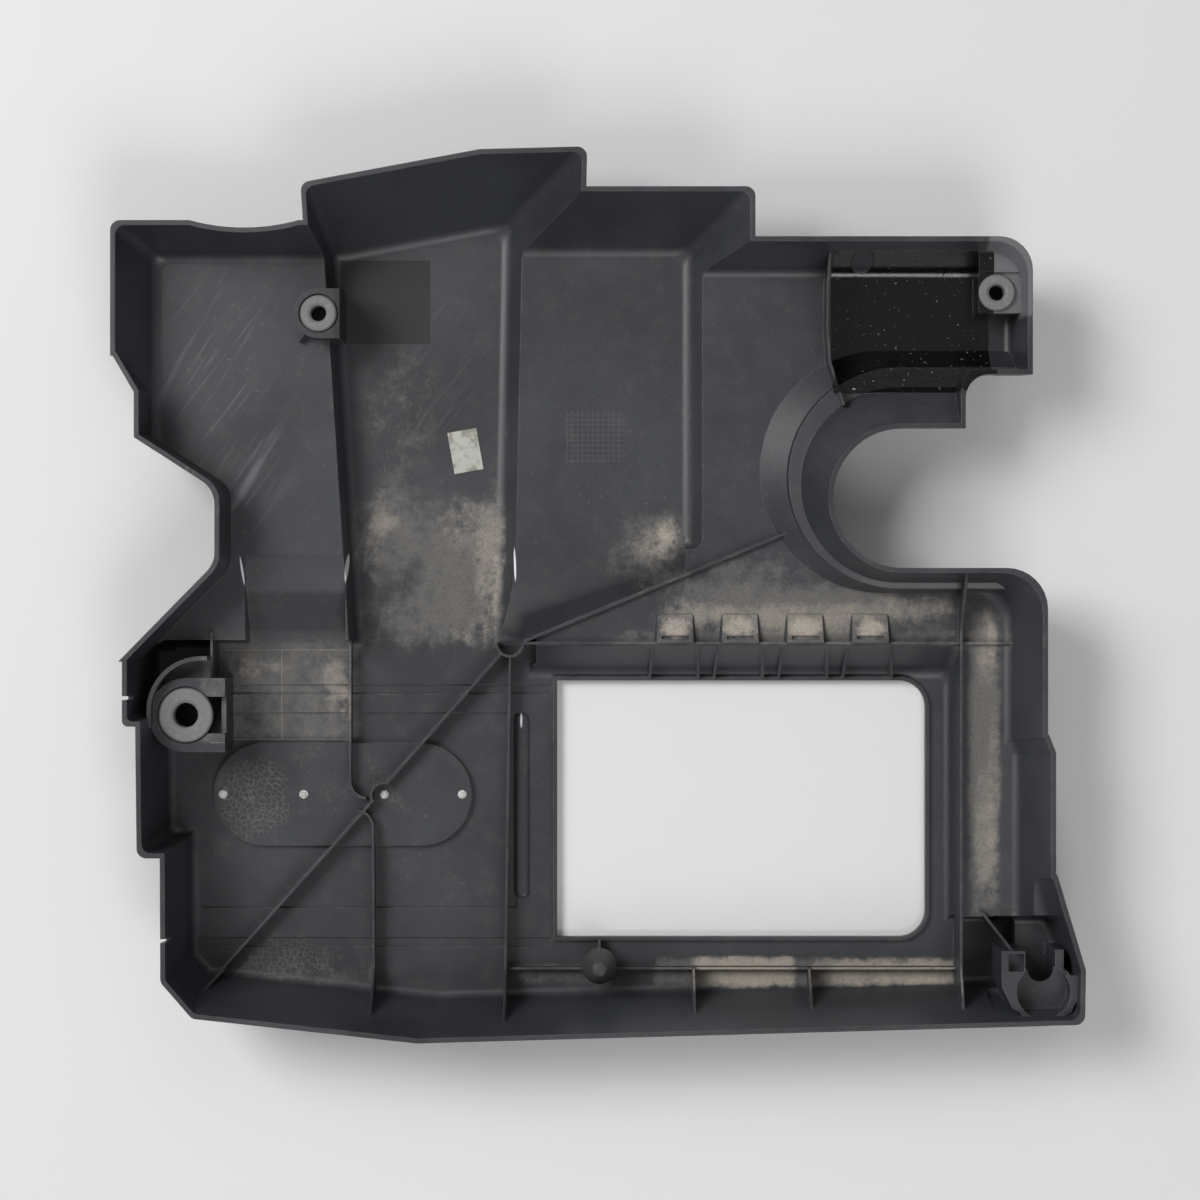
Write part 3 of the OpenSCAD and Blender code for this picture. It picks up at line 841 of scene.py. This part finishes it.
@dataclass
class CoverShell:
    """The moulded cover with its ribs, holders, louvre teeth and open clip.

    Attributes:
        height: Height of the rim.
        wall: Thickness of the wall.
        rib: Thickness of a rib.
        low_rib: Height of the low ribs' top edge.
        ledge_rib: Height of the ledge's top edge.
        column_rib: Height of the top edge of the long rib at the right.
        ledge: Place of the long ledge along Y.
        strip: Place of the strip along the lower edge, along Y.
        column: Place of the long rib at the right along X.
        slant: Rise of the slanting rib.
        cut_out: Middle of the round cut-out.
        cut_radius: Its radius at the rim.
        window_low: Lower left corner of the window.
        window_high: Its upper right corner.
        window_radius: Radius of its two right-hand corners.
        badge: Middle of the plain plate.
        stakes: Places of its four posts along X.
        upper_left: Middle of the upper left seat.
        upper_right: Middle of the upper right seat.
        left: Middle of the large seat.
        buffer: Middle of the buffer's post.
        cup: Middle of the small open cup on the ledge.
        cup_radius: Its outer radius.
        clip: Middle of the open clip.
        clip_foot: Height of the clip's foot.
        clip_top: Height of its top.
        small: Radius of a small grommet.
        large: Radius of the large one.
        seat: Thickness of the floor under a grommet.
    """

    height: float = 58.0
    wall: float = 2.5
    rib: float = 1.3
    low_rib: float = 11.5
    ledge_rib: float = 26.5
    column_rib: float = 29.5
    ledge: float = -25.0
    strip: float = -196.2
    column: float = 188.3
    slant: float = 0.414
    cut_out: Pair = (155.0, 49.2)
    cut_radius: float = 35.5
    window_low: Pair = (-21.6, -180.0)
    window_high: Pair = (172.4, -45.0)
    window_radius: float = 14.0
    badge: Pair = (-134.6, -105.0)
    stakes: tuple[float, ...] = (-63.0, -20.5, 22.0, 63.0)
    upper_left: Point = (-144.0, 145.0, 38.0)
    upper_right: Point = (204.5, 155.0, 44.0)
    left: Point = (-212.8, -62.0, 34.0)
    buffer: Point = (0.8, -194.0, 14.0)
    cup: Pair = (-46.0, -25.0)
    cup_radius: float = 7.6
    clip: Pair = (227.8, -203.0)
    clip_foot: float = 9.0
    clip_top: float = 50.0
    small: float = 9.4
    large: float = 14.1
    seat: float = 3.0

    def body(self, skin: float) -> Form:
        """Build all that lies inside the surface a distance inside the outer face.

        Args:
            skin: The distance.

        Returns:
            The form.
        """
        form, *others = [tub.form(skin) for tub in TUBS.values()]
        form.join(*others)
        form.join(*[self._ramp(*ramp, skin) for ramp in RAMPS])
        for points, radius in BITES:
            levels = []
            for spread, z in ((4.0, UNDER), (0.0, self.height + 10)):
                outline = Plan.moved([Vector(p) for p in points], [-skin - spread] * len(points))
                levels.append((Plan.eased(outline, radius, 10), z))
            form.cut(Form.hull(levels))
        return form.cut(self._wedge(skin), self._collar(skin), self._edge_arc(skin))

    def _wedge(self, skin: float) -> Form:
        """Raised floor between the slanting rib and the ledge, down to the window's slope."""
        left, right, start = -30.0 - skin, 50.0, (self.cup[0] + 8, self.cup[1] + 1)
        stretch = 1.082  # Length of the slanting rib for each unit along X.
        aside = (skin - 1.9) * stretch
        points = []
        for z in (UNDER, 21.0 + skin):
            low_y = WINDOW_RIM - skin - WINDOW_LEAN * (self.height - z) / (self.height - skin)
            points += [Vector((x, low_y, z)) for x in (left, right)]
            points += [Vector((x, start[1] + self.slant * (x - start[0]) + aside, z))
                       for x in (left, right)]
        return Form(points)

    def _ramp(self, left: float, right: float, top_y: float, low_y: float, high: float,
              skin: float) -> Form:
        """Pocket end that runs down to the base floor, gently and then steeply."""
        run, low, top = top_y - low_y, skin + 0.4, high + skin
        roof, past = self.height + skin, 8
        side = [(top_y + past, top), (top_y, top), (top_y - 0.06 * run, top - 1),
                (top_y - 0.35 * run, top - 0.16 * high), (top_y - 0.45 * run, top - 0.3 * high),
                (top_y - 0.8 * run, low + 0.15 * high), (low_y + 0.08 * run, low + 0.03 * high),
                (low_y, low), (low_y - past, low), (low_y - past, roof), (top_y + past, roof)]
        count = len(side)
        points = [Vector((x, y, z)) for x in (left + skin, right - skin) for y, z in side]
        faces = [list(range(count)), list(range(count, 2 * count))]
        for i in range(count):
            j = (i + 1) % count
            faces.append([i, j, count + j, count + i])
        return Form(points, faces)

    def _collar(self, skin: float) -> Form:
        """Stepped collar round the cut-out: cone, flat step, slope, wall and rim."""
        rim = self.cut_radius + skin
        wall = self.cut_radius + 9.2 + skin
        slope = wall + 3.3
        cone = self.cut_radius + 25 + skin
        levels = (((-7.8, 14.9), cone, UNDER), ((-7.8, 14.9), cone, 21 + skin),
                  ((0.5, 11.2), slope + 7.6, 29.5 + skin), ((0.5, 11.2), slope + 6.6, 32.2 + skin),
                  ((0, 7.6), slope, 33.2 + skin), ((1.2, 6.8), wall, 41 + skin),
                  ((0, 0), rim, self.height - 4), ((0, 0), rim, self.height + 10))
        side, rings = 300.0, []
        for shift, radius, z in levels:
            centre = (self.cut_out[0] + shift[0], self.cut_out[1] + shift[1])
            ring = Plan.arc(centre, radius, 90.0, 270.0, 48)
            ring += [Vector((side, centre[1] - radius)), Vector((side, centre[1] + radius))]
            rings.append((ring, z))
        return Form.lofted(rings)

    def _edge_arc(self, skin: float) -> Form:
        """Shallow arc out of the upper left edge, which stops at the spine's wall."""
        limit, centre, radius = -151.6 + skin, (-180.0, 289.7), 103.0 + skin
        half = math.degrees(math.acos((limit - centre[0]) / radius))
        outline = Plan.arc(centre, radius, half, 360.0 - half, 96)
        return Form.upright(outline, UNDER, self.height + 10)

    def _rib(self, path: list, top: float) -> list[Form]:
        """Upright strip through a list of points."""
        strips = [Plan.strip(tuple(a), tuple(b), self.rib) for a, b in zip(path, path[1:])]
        return [Form.upright(strip, 0.0, top) for strip in strips]

    def _gusset(self, first: Pair, second: Pair, first_top: float, second_top: float) -> Form:
        """Rib with a slanted top edge."""
        ends = Plan.strip(first, second, self.rib)
        tops = (first_top, second_top, second_top, first_top)
        return Form([Vector((p.x, p.y, z)) for p, top in zip(ends, tops) for z in (0.0, top)])

    def _ribs(self) -> list[Form]:
        """Build all ribs and gussets."""
        low, (cup_x, cup_y), (clip_x, clip_y) = self.low_rib, self.cup, self.clip
        stake = (self.badge[0] + self.stakes[2], self.badge[1])
        cross_x, cross_y = stake[0] - 9.5, stake[1] - 7.5
        made = self._rib([(-206, -206), (cross_x, cross_y), *Plan.arc(stake, 6.5, 205, 75),
                          (cup_x - 4, cup_y - 5)], low)
        made.append(self._gusset((-196, -196), (-214, -215), low, self.height - 16))
        made += self._rib([(cup_x + 8, cup_y + 1), (cup_x + 153.4, cup_y + 61.2)], self.ledge_rib)
        made += self._rib([(-130, 2), *Plan.arc((cross_x + 1, cross_y + 15), 9, 180, 262)], low)
        made += self._rib([*Plan.arc((cross_x - 5, cross_y - 9.5), 9, 78, 0),
                           (cross_x + 4.5, self.strip)], low)
        made += self._rib([self.cup, (cup_x - 2.5, self.strip)], low + 1)
        made += self._rib([(self.column, 0.0), (self.column, self.strip)], self.column_rib)
        made.append(self._gusset((self.column, -18), (self.column, 13.75), self.column_rib,
                                 self.height - 3))
        feet = ((cross_x + 4.5, low), (cup_x - 2.5, low + 1), (50, self.buffer[2]),
                (110.6, self.buffer[2]), (self.column, self.column_rib))
        made += [self._gusset((x, self.strip), (x, self.strip - 30), top, self.height - 12)
                 for x, top in feet]
        made += self._rib([(cup_x + self.cup_radius, self.ledge), (229.4, self.ledge)],
                          self.ledge_rib)
        made += self._rib([(cup_x, self.strip), (self.column, self.strip)], 8.5)
        made.append(self._gusset((self.buffer[0], self.window_low[1] - 2), self.buffer[:2], low,
                                 self.buffer[2]))
        made += self._rib([(-200.6, self.ledge + 5), (-200.6, self.ledge - 20)], low + 16)
        made.append(self._gusset((-155, 132), self.upper_left[:2], 28.5, self.upper_left[2]))
        made += self._rib([(119.8, 184), (118.2, 160), (117.9, 136.8), (119.1, 119.3), (126, 98)],
                          self.height - 14)
        made.append(self._gusset((199.5, -165), (clip_x - 16, clip_y + 21), self.ledge_rib,
                                 self.clip_top))
        return made

    def _teeth(self) -> tuple[list[Form], list[Form]]:
        """Build the ramped teeth with two fins each, and the scoops cut into them.

        Returns:
            What is added, and what is cut out.
        """
        base, half, pitch, made, scoops = 23.5, 11.5, 33.8, [], []
        for index in range(4):
            x = 40 + pitch * index
            corners = []
            for inset, near, far in ((0.0, base - 1, base - 1), (2.0, base + 5.5, base + 0.6)):
                corners += [Vector((x - half + inset, self.ledge + 0.2, near)),
                            Vector((x + half - inset, self.ledge + 0.2, near)),
                            Vector((x + half - 1.5 - inset / 2, self.ledge + 15, far)),
                            Vector((x - half + 1.5 + inset / 2, self.ledge + 15, far))]
            made.append(Form(corners))
            made += [self._gusset((x + side * half, self.ledge),
                                  (x + side * (half + 1.2), self.ledge - 18),
                                  base + 2, self.wall + 5) for side in (-1, 1)]
            scoops.append(Form.block((x - 7, self.ledge + 2), (x + 7, self.ledge + 3.8),
                                     self.ledge_rib, 40.0))
        return made, scoops

    def _rounded(self, radius: float, reach: float, place: Point) -> list[Vector]:
        """Half round outline that runs on straight to the right."""
        x, y = place[0] + reach, place[1]
        ends = [Vector((x, y - radius)), Vector((x, y + radius))]
        return Plan.arc(place[:2], radius, 90.0, 270.0, 40) + ends

    def _holders(self) -> tuple[list[Form], list[Form]]:
        """Build the three holders, and the hollows cut into them.

        Returns:
            What is added, and what is cut out.
        """
        made, hollows = [], []
        for place, outer, ring, reach in ((self.upper_left, self.small, self.small + 3.4, 11.0),
                                          (self.left, self.large, self.large + 5.0, 20.3)):
            under, inner = place[2] - self.seat, ring - self.wall
            made.append(Form.upright(self._rounded(ring, reach, place), 0.0, place[2] + 1.5))
            hollows += [Form.upright(self._rounded(inner, reach - self.wall, place), 0.0, under),
                        Form.rod(place[:2], outer + 0.8, place[2], place[2] + 12),
                        Form.rod(place[:2], outer - 2.85, under - 1, place[2] + 1)]
        x, y, z = self.left
        bend, end = (x + 9.0, y + 2.4), x + 12
        hood = [Vector((bend[0] - 28.1, y - 6)), *Plan.arc(bend, 28.1, 180, 90, 16),
                Vector((end, y + 30.5)), Vector((end, y + 28.3)),
                *Plan.arc(bend, 25.9, 90, 180, 16), Vector((bend[0] - 25.9, y - 6))]
        made.append(Form.upright(hood, 0.0, z + 9))
        floor = [*Plan.arc(bend, 27.0, 180, 90, 16), Vector((end, y + 29.0)), Vector((end, y)),
                 Vector((bend[0] - 27, y))]
        made.append(Form.hull([(floor, 0.0), (floor, z - 5.0)]))
        mouth = self.large - 4.6
        hollows.append(Form.block((x, y - mouth), (x + 22, y + mouth), z - 4, z + 8))
        x, y, z = self.upper_right
        made += [Form.block((x - 9.4, y - 10.4), (x + 18.8, y + 27.2), 0.0, z),
                 Form.block((x - 9.4, y + 10.4), (x + 18.8, y + 38.6), 0.0, z + 2)]
        hollows += [Form.block((x - 7.8, y - 7.8), (x + 7.8, y + 7.8), 0.0, z - self.seat),
                    Form.rod((x, y), self.small - 2.85, z - self.seat - 1, z + 9)]
        return made, hollows

    def _clip(self) -> tuple[list[Form], list[Form]]:
        """Build the open clip, a horseshoe with a long arm and a short one.

        Returns:
            What is added, and what is cut out.
        """
        (x, y), foot, top = self.clip, self.clip_foot, self.clip_top
        outline = ((-9.5, 21), (-9.5, 0), (9.5, 0), (9.5, 8.5), (23, 8.5), (14, -10.5), (0, -16),
                   (-16, -8.5), (-21.5, 3), (-21.5, 21))
        made = [Form.rod((x, y), 16.0, foot, top),
                Form.upright([Vector((x + a, y + b)) for a, b in outline], foot, top),
                Form.block((x + 5.7, y), (x + 11.2, y + 21), foot, top)]
        hollows = [Form.rod((x, y), 13.7, 38.0, OVER),
                   Form.block((x - 9.5, y), (x + 9.5, y + 10.5), 38.0, OVER),
                   Form.rod((x, y + 10.5), 6.7, 14.0, OVER, 40),
                   Form.block((x - 9.5, y + 10.5), (x + 6.7, y + 31.5), 14.0, OVER),
                   Form.block((x - 18, y + 10.5), (x - 10.2, y + 19.5), 44.0, OVER),
                   Form.block((x + 4.7, y + 8.5), (x + 11.7, y + 29.5), 44.0, OVER),
                   Form.rod((x, y), 13.7, 14.0, 35.0)]
        return made, hollows

    def _window(self, grow: float) -> list[Vector]:
        """Outline of the window, grown by a width."""
        x0, y0 = self.window_low[0] - grow, self.window_low[1] - grow
        x1, y1 = self.window_high[0] + grow, self.window_high[1] + grow
        r = self.window_radius + grow
        return [Vector((x0, y0)), *Plan.arc((x1 - r, y0 + r), r, -90, 0, 12),
                *Plan.arc((x1 - r, y1 - r), r, 0, 90, 12), Vector((x0, y1))]

    def _plate(self, grow: float) -> list[Vector]:
        """Outline of the plain plate, grown by a width."""
        (x, y), half, radius = self.badge, 41, 24.5 + grow
        return [*Plan.arc((x + half, y), radius, -90, 90, 32),
                *Plan.arc((x - half, y), radius, 90, 270, 32)]

    def _fittings(self) -> Form:
        """Build everything that stands inside the wall."""
        teeth, scoops = self._teeth()
        holders, hollows = self._holders()
        clip, clip_hollows = self._clip()
        cup = Plan.arc(self.cup, self.cup_radius, 180, 360, 24)
        form = Form.upright(self._window(2.0), 0.0, self.wall + 2.5)
        form.join(Form.upright(cup, 0.0, self.low_rib + 8), self._bar(),
                  Form.rod(self.buffer[:2], 4.0, 0.0, self.buffer[2] + 10),
                  *self._ribs(), *teeth, *holders, *clip)
        inner = Form.rod(self.cup, self.cup_radius - self.rib, self.wall, OVER)
        return form.cut(*hollows, *clip_hollows, *scoops, inner)

    def _relief(self) -> list[Form]:
        """Shallow channels in the lower left floor, and the sunk panel between them."""
        low, high = self.wall - 1.1, self.wall + 0.9
        boxes = (((-230, -52.2), (-24.6, -47.2)), ((-211, -185.5), (-24.6, -180.5)),
                 ((-209, -165), (-43, -62)))
        return [Form.block(*box, low, high) for box in boxes]

    def _bar(self) -> Form:
        """Low rounded bar at the right end of the sunk panel."""
        levels = ((4.2, 1.0), (4.2, self.wall), (3.2, self.wall + 1.0), (1.6, self.wall + 1.6))
        return Form.hull([(Plan.arc((-40.0, -66.0), radius, 0.0, 180.0, 12) +
                           Plan.arc((-40.0, -156.0), radius, 180.0, 360.0, 12), z)
                          for radius, z in levels])

    def shape(self) -> bpy.types.Object:
        """Build the whole shell.

        Returns:
            The shell's object.
        """
        inside = self.body(self.wall).join(*self._relief())
        inside.cut(Form.upright(self._plate(self.wall), -1.0, 4.7))
        shell = self.body(0.0).cut(inside)
        shell.join(self._fittings().keep(self.body(self.wall / 2)))
        shell.cut(Form.upright(self._window(0.0), UNDER, 48.0),
                  Form.upright(self._plate(0.15), UNDER, 2.2))
        shell.cut(*[Form.rod((self.badge[0] + x, self.badge[1]), 1.45, 0.0, 10.0, 24)
                    for x in self.stakes])
        shell.cut(*[Form.block((x - 2.5, y - 1.0), (x + 6.25, y + 1.0), 46.0, 87.0)
                    for x, y in ((-242, -52.5), (-223, -176))])
        return shell.object


@dataclass
class Softened:
    """Copy of a CAD node with its edges rounded, which replaces the node.

    Attributes:
        node: Name of the CAD node.
        slot: Material slot of the record; not used.
        radius: Width of the rounding, in metres.
        material: Finish of the copy.
        sharp: Angle from which an edge is rounded, in degrees.
        melted_above: Height above which heads are melted; none if zero.
    """

    node: str
    slot: str
    radius: float
    material: bpy.types.Material
    sharp: float = 32.0
    melted_above: float = 0.0

    def _melt(self, piece: bpy.types.Object) -> None:
        """Make the heads above a height uneven, as melted posts are, the same in each run."""
        noise.seed_set(7)
        work = bmesh.new()
        work.from_mesh(piece.data)
        heads = [f for f in work.faces if f.calc_center_median().z > self.melted_above]
        edges = sorted({e for f in heads for e in f.edges if e.calc_length() > 0.3 * MM},
                       key=lambda edge: edge.index)
        bmesh.ops.triangulate(work, faces=heads)
        bmesh.ops.subdivide_edges(work, edges=edges, cuts=2, use_grid_fill=True)
        for vert in work.verts:
            if vert.co.z > self.melted_above:
                push = noise.noise_vector(vert.co * 900.0)
                vert.co += Vector((push.x, push.y, push.z * 0.5)) * 0.9 * MM
        work.to_mesh(piece.data)
        work.free()

    def build(self, frame: dict, shape: bpy.types.Object | None = None) -> bpy.types.Object:
        """Merge, round and dress the node's copy or another shape for it.

        Args:
            shape: Shape that is used in place of a copy.

        Returns:
            The new piece.
        """
        piece = shape
        if piece is None:
            piece = bpy.data.objects.new("piece", frame["nodes"][self.node].data.copy())
            bpy.context.collection.objects.link(piece)
        piece.name = piece.data.name = f"{self.node}_skin"
        work = bmesh.new()
        work.from_mesh(piece.data)
        bmesh.ops.remove_doubles(work, verts=work.verts, dist=0.02 * MM)
        bmesh.ops.dissolve_limit(work, angle_limit=math.radians(0.8), verts=work.verts,
                                 edges=work.edges)
        work.to_mesh(piece.data)
        work.free()
        bpy.ops.object.select_all(action="DESELECT")
        piece.select_set(True)
        bpy.context.view_layer.objects.active = piece
        if self.melted_above:
            self._melt(piece)
        if self.radius:
            rounding = piece.modifiers.new("rounding", "BEVEL")
            rounding.width = self.radius
            rounding.segments = 2
            rounding.limit_method = "ANGLE"
            rounding.angle_limit = math.radians(self.sharp)
            rounding.use_clamp_overlap = True
            bpy.ops.object.modifier_apply(modifier=rounding.name)
        bpy.ops.object.shade_smooth_by_angle(angle=math.radians(30.0))
        flat = piece.modifiers.new("flat", "WEIGHTED_NORMAL")
        flat.keep_sharp = True
        bpy.ops.object.modifier_apply(modifier=flat.name)
        piece.data.materials.clear()
        piece.data.materials.append(self.material)
        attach(piece, ROOT)
        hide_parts(self.node)
        LOG.info("%s: %d faces", piece.name, len(piece.data.polygons))
        return piece


@dataclass
class Studio:
    """Camera, lamps, floor and world.

    Attributes:
        distance: Distance from the camera to the rim, in metres.
        lens: Focal length, in millimetres.
        aim: Point that the camera looks down on.
        floor_grey: Colour of the floor.
        room: Colour of the world.
        room_light: Strength of the world.
        lamps: Name, place, size and power of each lamp.
    """

    distance: float = 1.45
    lens: float = 85.6
    aim: Point = (0.0010, -0.0026, 0.058)
    floor_grey: Colour = (0.68, 0.68, 0.68)
    room: Colour = (0.76, 0.76, 0.78)
    room_light: float = 0.34
    lamps: tuple = field(default_factory=lambda: (
        ("key", (-1.8, 1.0, 2.3), 1.4, 74.0),
        ("top", (0.5, 1.8, 2.4), 1.6, 7.0),
        ("front", (0.6, -1.9, 2.2), 1.4, 31.0),
    ))

    def build(self) -> None:
        """Put up the camera, the lamps, the floor and the world."""
        self._camera()
        for name, place, size, power in self.lamps:
            self._lamp(name, Vector(place), size, power)
        self._floor()
        scene = bpy.context.scene
        scene.view_settings.view_transform = "Standard"
        scene.cycles.adaptive_threshold = 0.04
        scene.cycles.max_bounces = 4
        scene.cycles.diffuse_bounces = 2
        scene.cycles.glossy_bounces = 2
        world = bpy.data.worlds.new("room")
        world.use_nodes = True
        background = world.node_tree.nodes["Background"].inputs
        background["Color"].default_value = (*self.room, 1.0)
        background["Strength"].default_value = self.room_light
        scene.world = world

    def _camera(self) -> None:
        """Look straight down on the cover."""
        data = bpy.data.cameras.new("camera")
        data.lens = self.lens
        data.sensor_width = 36.0
        camera = bpy.data.objects.new("camera", data)
        camera.location = Vector(self.aim) + Vector((0.0, 0.0, self.distance))
        bpy.context.collection.objects.link(camera)
        bpy.context.scene.camera = camera

    @staticmethod
    def _lamp(name: str, place: Vector, size: float, power: float) -> None:
        """Hang one square soft lamp that points at the cover."""
        data = bpy.data.lights.new(name, "AREA")
        data.size = size
        data.energy = power
        lamp = bpy.data.objects.new(name, data)
        lamp.location = place
        lamp.rotation_euler = (-place).to_track_quat("-Z", "Y").to_euler()
        bpy.context.collection.objects.link(lamp)

    def _floor(self) -> None:
        """Lay the pale floor."""
        bpy.ops.mesh.primitive_plane_add(size=8.0, location=(0, 0, 0))
        floor = bpy.context.active_object
        floor.name = "floor"
        graph = Graph("floor_grey")
        graph.wire("Base Color", self.floor_grey)
        graph.wire("Roughness", 0.9)
        floor.data.materials.append(graph.material)


def main() -> None:
    """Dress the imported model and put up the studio."""
    logging.basicConfig(level=logging.INFO)
    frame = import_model()
    Studio().build()
    plastic = MouldedPlastic().build("moulded_plastic")
    rubber = Rubber().build("grommet_rubber")
    dark = Rubber(colour=(0.035, 0.035, 0.037), dust=(0.10, 0.10, 0.10)).build("buffer_rubber")
    pale = PalePlastic((0.55, 0.55, 0.53), (0.30, 0.28, 0.24)).build("pale_plastic")
    paper = PalePlastic((0.42, 0.42, 0.37), (0.16, 0.15, 0.12), 0.7, 0.4).build("label_paper")
    Softened("cover_shell", "shell", 0.0, plastic).build(frame, CoverShell().shape())
    for name in ("grommet_upper_left", "grommet_upper_right", "grommet_left"):
        Softened(name, "grommets", 0.4 * MM, rubber).build(frame)
    Softened("buffer_cone", "buffer", 0.6 * MM, dark, 20.0).build(frame)
    Softened("badge_plate", "badge", 0.0, pale, melted_above=4.9 * MM).build(frame)
    Softened("blank_label", "label", 0.05 * MM, paper).build(frame)


if __name__ == "__main__":
    main()
